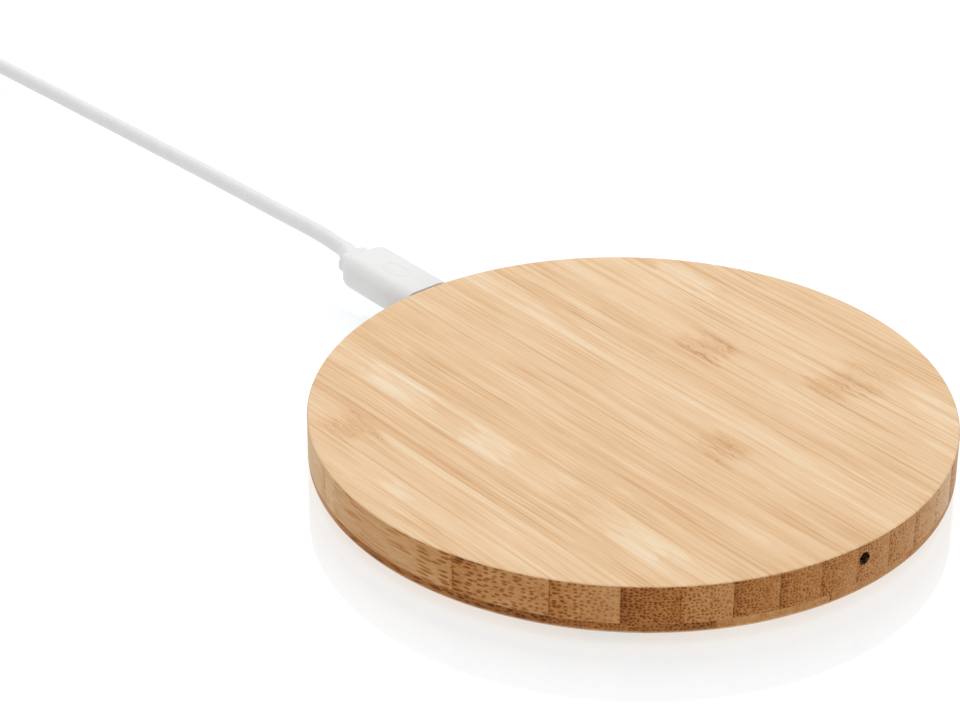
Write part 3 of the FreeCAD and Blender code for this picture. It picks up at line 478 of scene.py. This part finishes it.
def make_materials():
    nickel = make_metal("nickel", (0.6, 0.595, 0.585), 0.24, (0.08, 2.5, 0.08))
    white = (0.75, 0.75, 0.742)
    return {
        "bamboo": make_bamboo("bamboo_top", TOP_STRIPS, 3.0),
        "bamboo_plate": make_bamboo("bamboo_plate", PLATE_STRIPS, 31.0),
        "silicone": make_moulded("silicone", (0.5, 0.5, 0.49), 0.62, 0.05, 0.2, 0.02),
        "screw_steel": make_metal("screw_steel", (0.6, 0.6, 0.58), 0.34),
        "board_laminate": make_laminate("board_laminate"),
        "foam": make_speckled("foam", (0.8, 0.8, 0.78), (0.55, 0.55, 0.53), 0.75, 0.35),
        "chip_resin": make_moulded("chip_resin", (0.03, 0.03, 0.033), 0.5, 0.15, 0.08, 0.01),
        "ceramic_body": make_speckled("ceramic_body", (0.55, 0.4, 0.26), (0.42, 0.28, 0.16),
                                      0.45, 0.2),
        "ferrite": make_speckled("ferrite", (0.07, 0.07, 0.075), (0.16, 0.16, 0.165), 0.5, 0.3),
        # a near-black lens: painted shade standing in for the dark light hole it sits behind
        "clear_resin": make_moulded("clear_resin", (0.012, 0.008, 0.006), 0.4, 0.05,
                                    Transmission_Weight=0.1, Specular_IOR_Level=0.05),
        "tinned_wire": make_metal("tinned_wire", (0.74, 0.74, 0.72), 0.3),
        "film": make_moulded("film", (0.62, 0.42, 0.12), 0.3, 0.08, 0.5, 0.01),
        "copper_wire": make_metal("copper_wire", (0.78, 0.33, 0.13), 0.32, (0.1, 0.1, 0.1), 0.01),
        "sensor_bead": make_moulded("sensor_bead", (0.05, 0.045, 0.04), 0.25, 0.2),
        "connector_steel": nickel,
        "connector_resin": make_moulded("connector_resin", (0.035, 0.035, 0.035), 0.45, 0.1),
        "white_resin": make_moulded("white_resin", (0.8, 0.8, 0.78), 0.42),
        "contact_gold": make_metal("contact_gold", (0.83, 0.6, 0.24), 0.24, (0.08, 1.5, 0.08)),
        "white_moulding": make_moulded("white_moulding", white, 0.36, 0.015, 0.12, 0.004),
        "white_jacket": make_moulded("white_jacket", white, 0.42, 0.015, 0.2, 0.006),
        "tie_strip": make_moulded("tie_strip", (0.76, 0.76, 0.74), 0.5, 0.03, 0.15, 0.01),
    }


def paint_frame(materials):
    """Each carried-over CAD node takes the material of its slot in the record."""
    for node in nodes.values():
        slot = node.material_slots[0]
        slot.material = materials[slot.material.name.split(".")[0]]


# --- mesh tools ----------------------------------------------------------

def arc(centre, radius, start, end, steps):
    """Points of an arc in the (radius, height) plane, angles in degrees."""
    angles = [math.radians(start + (end - start) * k / steps) for k in range(steps + 1)]
    return [(centre[0] + radius * math.cos(a), centre[1] + radius * math.sin(a)) for a in angles]


def finish_mesh(name, mesh):
    """A smooth-shaded object with its sharp edges kept, from a bmesh."""
    bmesh.ops.recalc_face_normals(mesh, faces=mesh.faces)
    for face in mesh.faces:
        face.smooth = True
    for edge in mesh.edges:
        edge.smooth = len(edge.link_faces) == 2 and edge.calc_face_angle(0.0) < SHARP_ANGLE
    data = bpy.data.meshes.new(name)
    mesh.to_mesh(data)
    mesh.free()
    thing = bpy.data.objects.new(name, data)
    bpy.context.collection.objects.link(thing)
    return thing


def bridge(mesh, first, second):
    """Quads between two rings, or triangles where one of them is a single point."""
    count = max(len(first), len(second))
    for k in range(count):
        corners = [first[k % len(first)], first[(k + 1) % len(first)],
                   second[(k + 1) % len(second)], second[k % len(second)]]
        mesh.faces.new(list(dict.fromkeys(corners)))


def lathe(name, outline, centre=(0.0, 0.0), steps=CIRCLE_STEPS):
    """(radius, height) points turned about a vertical axis."""
    mesh = bmesh.new()
    rings = []
    for radius, height in outline:
        count = steps if radius > 0 else 1
        angles = [2 * math.pi * k / steps for k in range(count)]
        rings.append([mesh.verts.new((centre[0] + radius * math.cos(a),
                                      centre[1] + radius * math.sin(a), height)) for a in angles])
    for first, second in zip(rings, rings[1:]):
        bridge(mesh, first, second)
    return finish_mesh(name, mesh)


def rounded_ring(half_width, half_height, corner, steps=8):
    """Points round a rectangle with round corners."""
    corner = min(corner, half_width - 1e-6, half_height - 1e-6)
    points = []
    for quarter, (side, up) in enumerate(((1, 1), (-1, 1), (-1, -1), (1, -1))):
        centre = (side * (half_width - corner), up * (half_height - corner))
        points += arc(centre, corner, 90 * quarter, 90 * quarter + 90, steps)
    return points


def loft(name, sections, centre, steps=8):
    """Rounded rectangles skinned along Y: (y, half width, half height, corner radius)."""
    mesh = bmesh.new()
    rings = []
    for y, half_width, half_height, corner in sections:
        ring = rounded_ring(half_width, half_height, corner, steps)
        rings.append([mesh.verts.new((centre[0] + u, y, centre[1] + v)) for u, v in ring])
    for first, second in zip(rings, rings[1:]):
        bridge(mesh, first, second)
    mesh.faces.new(rings[0])
    mesh.faces.new(rings[-1])
    return finish_mesh(name, mesh)


def carve(piece, tool, operation="DIFFERENCE"):
    """Cut a tool out of a piece, or add it, and drop the tool."""
    change = piece.modifiers.new("change", "BOOLEAN")
    change.operation = operation
    change.solver = "EXACT"
    change.object = tool
    depsgraph = bpy.context.evaluated_depsgraph_get()
    mesh = bmesh.new()
    mesh.from_mesh(bpy.data.meshes.new_from_object(piece.evaluated_get(depsgraph)))
    name = piece.name
    for old in (piece, tool):
        bpy.data.meshes.remove(old.data)
    return finish_mesh(name, mesh)


def paint(piece, material):
    piece.data.materials.clear()
    piece.data.materials.append(material)


# --- bamboo case ---------------------------------------------------------

def screw_places():
    angles = [math.radians(45 + 90 * k) for k in range(4)]
    return [(SCREW_CIRCLE * math.cos(a), SCREW_CIRCLE * math.sin(a)) for a in angles]


def make_top_shell(materials):
    """The upper board: softly rounded rim, hollow underneath, port slot and light hole."""
    outline = [(0.0, PAD_TOP)]
    outline += [(PAD_RADIUS * share, PAD_TOP) for share in (0.3, 0.6, 0.8, 0.93)]
    outline += arc((PAD_RADIUS - TOP_ROUND, PAD_TOP - TOP_ROUND), TOP_ROUND, 90, 0, 5)
    outline += [(PAD_RADIUS, SEAM + SEAM_GROOVE), (PAD_RADIUS - SEAM_GROOVE, SEAM),
                (CAVITY_RADIUS, SEAM), (CAVITY_RADIUS, CEILING), (0.0, CEILING)]
    shell = lathe("bamboo_top", outline)
    for place in screw_places():
        boss = lathe("boss", [(0.0, SEAM), (BOSS_RADIUS, SEAM), (BOSS_RADIUS, CEILING + MM),
                              (0.0, CEILING + MM)], place, 48)
        shell = carve(shell, boss, "UNION")
        depth = PLATE_BOTTOM + SCREW_LENGTH
        pilot = lathe("pilot", [(0.0, SEAM - MM), (SCREW_RADIUS, SEAM - MM), (SCREW_RADIUS, depth),
                                (0.0, depth)], place, 24)
        shell = carve(shell, pilot)
    inner, outer = CAVITY_RADIUS - 2 * MM, PAD_RADIUS + 2 * MM
    slot = loft("slot", [(inner, SLOT_HALF_WIDTH, SLOT_HALF_HEIGHT, SLOT_HALF_HEIGHT),
                         (outer, SLOT_HALF_WIDTH, SLOT_HALF_HEIGHT, SLOT_HALF_HEIGHT)],
                (0.0, PORT_HEIGHT), 12)
    shell = carve(shell, slot)
    hole = loft("light", [(-outer, LED_HOLE_RADIUS, LED_HOLE_RADIUS, LED_HOLE_RADIUS),
                          (-inner, LED_HOLE_RADIUS, LED_HOLE_RADIUS, LED_HOLE_RADIUS)],
                (0.0, LED_HOLE_HEIGHT), 12)
    shell = carve(shell, hole)
    paint(shell, materials["bamboo"])
    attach(shell, "pad")
    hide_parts("top_shell")


def make_base_plate(materials):
    """The thin lower board, rounded under its rim, with four countersunk holes."""
    outline = [(0.0, SEAM), (PAD_RADIUS - SEAM_GROOVE, SEAM)]
    outline += arc((PAD_RADIUS - LOWER_ROUND, PLATE_BOTTOM + LOWER_ROUND), LOWER_ROUND, 0, -90, 8)
    outline += [(PAD_RADIUS * share, PLATE_BOTTOM) for share in (0.9, 0.6, 0.3)]
    outline += [(0.0, PLATE_BOTTOM)]
    plate = lathe("bamboo_base", outline)
    sink = SCREW_HEAD_RADIUS - SCREW_RADIUS
    for place in screw_places():
        tool = lathe("sink", [(0.0, PLATE_BOTTOM - MM), (SCREW_HEAD_RADIUS, PLATE_BOTTOM - MM),
                              (SCREW_HEAD_RADIUS, PLATE_BOTTOM),
                              (SCREW_RADIUS, PLATE_BOTTOM + sink), (SCREW_RADIUS, SEAM + MM),
                              (0.0, SEAM + MM)], place, 24)
        plate = carve(plate, tool)
    paint(plate, materials["bamboo_plate"])
    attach(plate, "pad")
    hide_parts("base_plate")


# --- plugs ---------------------------------------------------------------

# Half width, half height and corner radius of the plug's grip at each y, in millimetres.
GRIP_SECTIONS = [(50.8, 4.75, 2.75, 2.4), (50.88, 4.92, 2.92, 2.5), (51.1, 5.0, 3.0, 2.55),
                 (58.0, 5.0, 3.0, 2.55), (66.7, 5.0, 3.0, 2.55), (67.4, 4.9, 2.95, 2.45),
                 (67.9, 4.68, 2.8, 2.3), (68.4, 4.32, 2.55, 2.1), (68.8, 3.95, 2.3, 1.95),
                 (69.3, 3.45, 1.95, 1.7), (69.9, 3.22, 1.78, 1.6), (71.0, 3.2, 1.74, 1.6),
                 (71.24, 3.05, 1.7, 1.6), (71.32, 2.75, 1.68, 1.6), (71.38, 2.2, 1.68, 1.64),
                 (71.6, 1.9, 1.68, 1.68), (72.6, 1.75, 1.65, 1.65), (74.2, 1.62, 1.6, 1.6),
                 (74.5, 1.52, 1.52, 1.52)]
BOOT_START = 71.3 * MM
BOOT_LENGTH = 3.2 * MM
BOOT_LEAN = (0.8 * MM, 0.15 * MM)
BOOT_CURVE = 1.2
GRIP_TOP = PORT_HEIGHT + 3 * MM
MARK_PLACE = 59.1 * MM
MARK_HALF_LENGTH = 2.9 * MM
MARK_HALF_WIDTH = 1.5 * MM
MARK_LINE = 0.17 * MM
MARK_RISE = 0.055 * MM
MARK_STEPS = 64


def oval_ridge(name, centre, half_length, half_width, line, rise):
    """A low raised line round an oval, lying in a level plane."""
    mesh = bmesh.new()
    rings = []
    for k in range(MARK_STEPS):
        angle = 2 * math.pi * k / MARK_STEPS
        across, along = math.cos(angle), math.sin(angle)
        ring = []
        for out, up in arc((0.0, -rise), 1.0, 0, 180, 6):
            offset = out * line
            height = (up + rise) * rise
            ring.append(mesh.verts.new((centre[0] + across * (half_width + offset),
                                        centre[1] + along * (half_length + offset),
                                        centre[2] + height)))
        rings.append(ring)
    for first, second in zip(rings, rings[1:] + rings[:1]):
        for k in range(len(first) - 1):
            mesh.faces.new((first[k], first[k + 1], second[k + 1], second[k]))
    return finish_mesh(name, mesh)


def merge(target, extra):
    """Join another mesh into a piece."""
    mesh = bmesh.new()
    mesh.from_mesh(target.data)
    mesh.from_mesh(extra.data)
    mesh.to_mesh(target.data)
    mesh.free()
    bpy.data.meshes.remove(extra.data)


def make_plug_grip(materials):
    """The moulded grip, its stepped collar and the short boot round the cord."""
    sections = [tuple(value * MM for value in section) for section in GRIP_SECTIONS]
    grip = loft("plug_grip", sections, (0.0, PORT_HEIGHT), 12)
    for vertex in grip.data.vertices:
        share = min(max((vertex.co.y - BOOT_START) / BOOT_LENGTH, 0.0), 1.0)
        vertex.co.x += BOOT_LEAN[0] * share ** BOOT_CURVE
        vertex.co.z += BOOT_LEAN[1] * share ** BOOT_CURVE
    merge(grip, oval_ridge("mark", (0.0, MARK_PLACE, GRIP_TOP), MARK_HALF_LENGTH,
                           MARK_HALF_WIDTH, MARK_LINE, MARK_RISE))
    paint(grip, materials["white_moulding"])
    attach(grip, "lead")
    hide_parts("plug_overmold")
    return grip


# --- cord ----------------------------------------------------------------

def coil_points():
    """Control points of the wound turns: each pass moves to the next free slot in turn."""
    points = []
    turn_step = 360 / COIL_TURN_POINTS
    outward = 1 / math.cos(math.radians(turn_step / 2))
    last = len(COIL_SLOTS) - 1
    for number, (column, layer) in enumerate(COIL_SLOTS):
        steps = COIL_TURN_POINTS // 2 if number == last else COIL_TURN_POINTS
        next_column, next_layer = COIL_SLOTS[min(number + 1, last)]
        for step in range(steps):
            azimuth = (step + 0.5) * turn_step
            moved = 0.0
            if number < last:
                start = COIL_SHIFT_START + COIL_DELAYS[number] * COIL_SHIFT_STEP
                moved = min(max((azimuth - start) / COIL_SHIFT_WIDTH, 0.0), 1.0)
                moved = moved * moved * (3 - 2 * moved)
            column_now = column + (next_column - column) * moved
            layer_now = layer + (next_layer - layer) * moved
            radius = (COIL_MID_RADIUS + 2 * CORD_RADIUS * column_now) * outward
            angle = math.radians(azimuth)
            points.append((COIL_CENTRE[0] + radius * math.cos(angle),
                           COIL_CENTRE[1] + radius * math.sin(angle),
                           COIL_FIRST_HEIGHT + 2 * CORD_RADIUS * layer_now))
    return points


def in_metres(route):
    return [tuple(value * MM for value in point) for point in route]


def nurbs(name, points, radius):
    """A round cord on a NURBS spline. Each point holds the radius, so the curve's box is right."""
    curve = bpy.data.curves.new(name, "CURVE")
    curve.dimensions = "3D"
    curve.bevel_depth = 1.0
    curve.bevel_resolution = 8
    curve.use_fill_caps = True
    curve.resolution_u = 6
    spline = curve.splines.new("NURBS")
    spline.points.add(len(points) - 1)
    for spot, point in zip(spline.points, points):
        spot.co = (*point, 1)
        spot.radius = radius
    spline.order_u = 3
    spline.use_endpoint_u = True
    thing = bpy.data.objects.new(name, curve)
    bpy.context.collection.objects.link(thing)
    return thing


def make_cord(materials):
    """The whole lead as one spline: out of the plug, down to the surface, and wound up."""
    points = in_metres(CORD_ROUTE) + coil_points() + in_metres(TAIL_ROUTE)
    cord = nurbs("lead_cord", points, CORD_RADIUS)
    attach(cord, "lead")
    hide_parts("cord_tube", "cord_coil", "cord_tail")
    paint(cord, materials["white_jacket"])


# --- twist tie and USB-A plug --------------------------------------------

TIE_WIDTH = 3.6 * MM
TIE_THICKNESS = 0.16 * MM
TIE_RIDGE = 0.14 * MM
TIE_HALF_DEPTH = 4.45 * MM
TIE_LOW = 0.15 * MM
TIE_HIGH = 8.86 * MM
TIE_CORNER = 1.7 * MM
TIE_GAP = 0.6 * MM
TAIL_START = 0.4 * MM
TAIL_LENGTH = 9 * MM
TAIL_HEIGHT = 5.2 * MM
TAIL_TURNS = 1.75
TAIL_TWIST_SHARE = 0.62
TAIL_APART = 0.32 * MM
TAIL_SPREAD = 1.5 * MM
TAIL_CURVE = 1.5
TAIL_STEPS = 40

HOST_X = -39.6 * MM
HOST_AXIS = 4 * MM
HOST_FRONT = 168.5 * MM
HOST_REAR = 188.5 * MM
HOST_HALF_WIDTH = 7.75 * MM
HOST_HALF_HEIGHT = 4 * MM
HOST_CORNER = 2.4 * MM
# How far behind the front, and how much narrower than the full size, in millimetres.
HOST_SECTIONS = [(0.0, 0.55), (0.12, 0.28), (0.4, 0.07), (0.9, 0.0), (9.0, 0.12), (17.0, 0.0),
                 (18.6, 0.12), (19.3, 0.45), (19.75, 0.95), (20.0, 1.6)]
BAR_COUNT = 4
BAR_FIRST = 4.2
BAR_STEP = 1.5
BAR_SUNK = 0.05 * MM
# Each rib's place along the plug, half width, half height and corner radius, in millimetres.
BAR_SECTIONS = [(-0.42, 3.6, 0.05, 0.04), (-0.3, 3.9, 0.3, 0.28), (0.3, 3.9, 0.3, 0.28),
                (0.42, 3.6, 0.05, 0.04)]
RELIEF_END = 196.5 * MM
RELIEF_ROOT_RADIUS = 2.9 * MM
RELIEF_TIP_RADIUS = 2 * MM
RELIEF_RINGS = 5
RELIEF_GROOVE = 0.42 * MM
RELIEF_SUNK = 0.4 * MM
RELIEF_LIP = 0.3 * MM
# Share of one ring's length, and share of the groove's depth there.
RELIEF_SHAPE = [(0.0, 1.0), (0.14, 1.0), (0.24, 0.15), (0.34, 0.0), (0.8, 0.0), (0.92, 0.3)]


def ribbon(mesh, path, wide):
    """Sweep a twist tie's section, thin wings and a ridge over the wire, along a path."""
    half = TIE_WIDTH / 2
    thick = TIE_THICKNESS / 2
    wing, foot = half * 0.9, half * 0.25
    profile = [(-half, 0.0), (-wing, thick), (-foot, thick), (0.0, thick + TIE_RIDGE),
               (foot, thick), (wing, thick), (half, 0.0), (wing, -thick), (-wing, -thick)]
    rings = []
    for k, spot in enumerate(path):
        along = (path[min(k + 1, len(path) - 1)] - path[max(k - 1, 0)]).normalized()
        side = (wide[k] - along * wide[k].dot(along)).normalized()
        up = side.cross(along)
        rings.append([mesh.verts.new(spot + side * u + up * v) for u, v in profile])
    for first, second in zip(rings, rings[1:]):
        bridge(mesh, first, second)
    mesh.faces.new(rings[0])
    mesh.faces.new(rings[-1])


def make_tie(materials):
    """A twist tie: once round the bundle, its two ends twisted together in the coil's middle."""
    centre_x = COIL_CENTRE[0]
    centre_y = COIL_CENTRE[1] - COIL_MID_RADIUS
    middle = (TIE_LOW + TIE_HIGH) / 2
    outline = rounded_ring(TIE_HALF_DEPTH, (TIE_HIGH - TIE_LOW) / 2, TIE_CORNER, 6)
    turns = [Vector((centre_x, centre_y + u, middle + v)) for u, v in outline]
    inner = Vector((centre_x, centre_y + TIE_HALF_DEPTH, TAIL_HEIGHT))
    after = [spot for spot in turns if spot.z > TAIL_HEIGHT + TIE_GAP]
    before = [spot for spot in turns if spot.z < TAIL_HEIGHT - TIE_GAP]
    loop = after + before
    sideways = Vector((1, 0, 0))
    mesh = bmesh.new()
    ribbon(mesh, loop, [sideways] * len(loop))
    for end, first in ((1, loop[0]), (-1, loop[-1])):
        path, wide = [first], [sideways]
        for k in range(1, TAIL_STEPS + 1):
            share = k / TAIL_STEPS
            turn = 2 * math.pi * TAIL_TURNS * min(share / TAIL_TWIST_SHARE, 1.0)
            spread = max(share - TAIL_TWIST_SHARE, 0.0) / (1 - TAIL_TWIST_SHARE)
            apart = end * (TAIL_APART + TAIL_SPREAD * spread ** TAIL_CURVE)
            out = Vector((-math.sin(turn), 0, math.cos(turn)))
            path.append(inner + Vector((0, TAIL_START + TAIL_LENGTH * share, 0)) + out * apart)
            wide.append(Vector((math.cos(turn), 0, math.sin(turn))))
        ribbon(mesh, path, wide)
    tie = finish_mesh("twist_tie", mesh)
    paint(tie, materials["tie_strip"])
    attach(tie, "lead")
    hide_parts("cord_tie")
    return tie


def make_host_grip(materials):
    """The USB-A plug's moulded grip, with a shallow panel of ribs on top."""
    width, height = HOST_HALF_WIDTH, HOST_HALF_HEIGHT
    sections = []
    for inset, trim in HOST_SECTIONS:
        trimmed = trim * MM
        sections.append((HOST_FRONT + inset * MM, width - trimmed, height - trimmed,
                         HOST_CORNER - trimmed / 2))
    grip = loft("host_grip", sections, (HOST_X, HOST_AXIS), 12)
    for number in range(BAR_COUNT):
        y = HOST_REAR - (BAR_FIRST + BAR_STEP * number) * MM
        bar = [(y + along * MM, wide * MM, tall * MM, corner * MM)
               for along, wide, tall, corner in BAR_SECTIONS]
        merge(grip, loft("bar", bar, (HOST_X, HOST_AXIS + height - BAR_SUNK), 4))
    paint(grip, materials["white_moulding"])
    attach(grip, "lead")
    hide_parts("host_overmold")
    return grip


def make_host_relief(materials):
    """The USB-A plug's tapered, ringed strain relief."""
    length = RELIEF_END - HOST_REAR
    sections = []
    for number in range(RELIEF_RINGS):
        for share, cut in RELIEF_SHAPE:
            place = (number + share) / RELIEF_RINGS
            radius = RELIEF_ROOT_RADIUS + (RELIEF_TIP_RADIUS - RELIEF_ROOT_RADIUS) * place
            radius -= RELIEF_GROOVE * cut
            y = HOST_REAR - RELIEF_SUNK + (length + RELIEF_SUNK) * place
            sections.append((y, radius, radius, radius))
    tip = RELIEF_TIP_RADIUS - RELIEF_LIP
    sections.append((RELIEF_END, tip, tip, tip))
    relief = loft("host_relief", sections, (HOST_X, HOST_AXIS), 10)
    paint(relief, materials["white_moulding"])
    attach(relief, "lead")
    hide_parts("host_strain_relief")
    return relief


# --- stage ---------------------------------------------------------------

FLOOR_HALF_SIZE = 6.0
FLOOR_TONES = [(0.3, (0.425, 0.43, 0.435)), (0.7, (0.435, 0.44, 0.445))]
FLOOR_GLOW = (0.955, 0.985, 1, 1)
WORLD_STRENGTH = 0.72
# name, place, size in metres, power in watts
SOFTBOXES = [("overhead", (0.1, 0.15, 1.1), (1.4, 1.4), 5),
             ("behind", (0.8, 0.95, 0.75), (1.5, 1.0), 4)]
SOFTBOX_TARGET = (0.0, 0.05, 0.0)
CAMERA_PLACE = (-0.2713, -0.29332, 0.24251)
CAMERA_LENS = 112.5
CAMERA_SENSOR = 36
# In degrees: turn about Z, tilt up from looking straight down, roll about the line of sight.
CAMERA_TURN = -39.4
CAMERA_TILT = 60.623
CAMERA_ROLL = 0.344


def make_floor():
    recipe = Recipe("studio_floor", Roughness=0.07, Specular_IOR_Level=0.6, Emission_Strength=0.57)
    recipe.shader.inputs["Emission Color"].default_value = FLOOR_GLOW
    cloud = recipe.noise(recipe.stretch(400.0, 400.0, 400.0), 2.0)
    recipe.colour(recipe.ramp(cloud, FLOOR_TONES))
    mesh = bmesh.new()
    bmesh.ops.create_grid(mesh, x_segments=8, y_segments=8, size=FLOOR_HALF_SIZE)
    floor = finish_mesh("floor", mesh)
    paint(floor, recipe.material)


def add_softbox(name, place, target, size, power):
    """A rectangular area light aimed at a point."""
    lamp = bpy.data.lights.new(name, "AREA")
    lamp.shape = "RECTANGLE"
    lamp.size, lamp.size_y = size
    lamp.energy = power
    softbox = bpy.data.objects.new(name, lamp)
    bpy.context.collection.objects.link(softbox)
    aim = Vector(target) - Vector(place)
    turn = aim.to_track_quat("-Z", "Y").to_matrix().to_4x4()
    softbox.matrix_world = Matrix.Translation(place) @ turn


def make_lights():
    world = bpy.data.worlds.new("studio")
    world.use_nodes = True
    background = world.node_tree.nodes["Background"]
    background.inputs["Color"].default_value = (1, 1, 1, 1)
    background.inputs["Strength"].default_value = WORLD_STRENGTH
    bpy.context.scene.world = world
    for name, place, size, power in SOFTBOXES:
        add_softbox(name, place, SOFTBOX_TARGET, size, power)
    view = bpy.context.scene.view_settings
    view.view_transform = "Standard"
    view.look = "None"


def make_camera():
    lens = bpy.data.cameras.new("camera")
    lens.lens = CAMERA_LENS
    lens.sensor_width = CAMERA_SENSOR
    lens.clip_start = 0.01
    camera = bpy.data.objects.new("camera", lens)
    bpy.context.collection.objects.link(camera)
    camera.matrix_world = (Matrix.Translation(CAMERA_PLACE)
                           @ Matrix.Rotation(math.radians(CAMERA_TURN), 4, "Z")
                           @ Matrix.Rotation(math.radians(CAMERA_TILT), 4, "X")
                           @ Matrix.Rotation(math.radians(CAMERA_ROLL), 4, "Z"))
    bpy.context.scene.camera = camera


make_camera()
make_floor()
make_lights()
materials = make_materials()
paint_frame(materials)
make_top_shell(materials)
make_base_plate(materials)
carried = [make_plug_grip(materials), make_tie(materials), make_host_grip(materials),
           make_host_relief(materials)]
carried += [nodes[name] for name in ("plug_shell", "plug_insulator", "plug_contacts",
                                     "plug_latches", "host_shell", "host_tongue",
                                     "host_contacts")]
make_cord(materials)
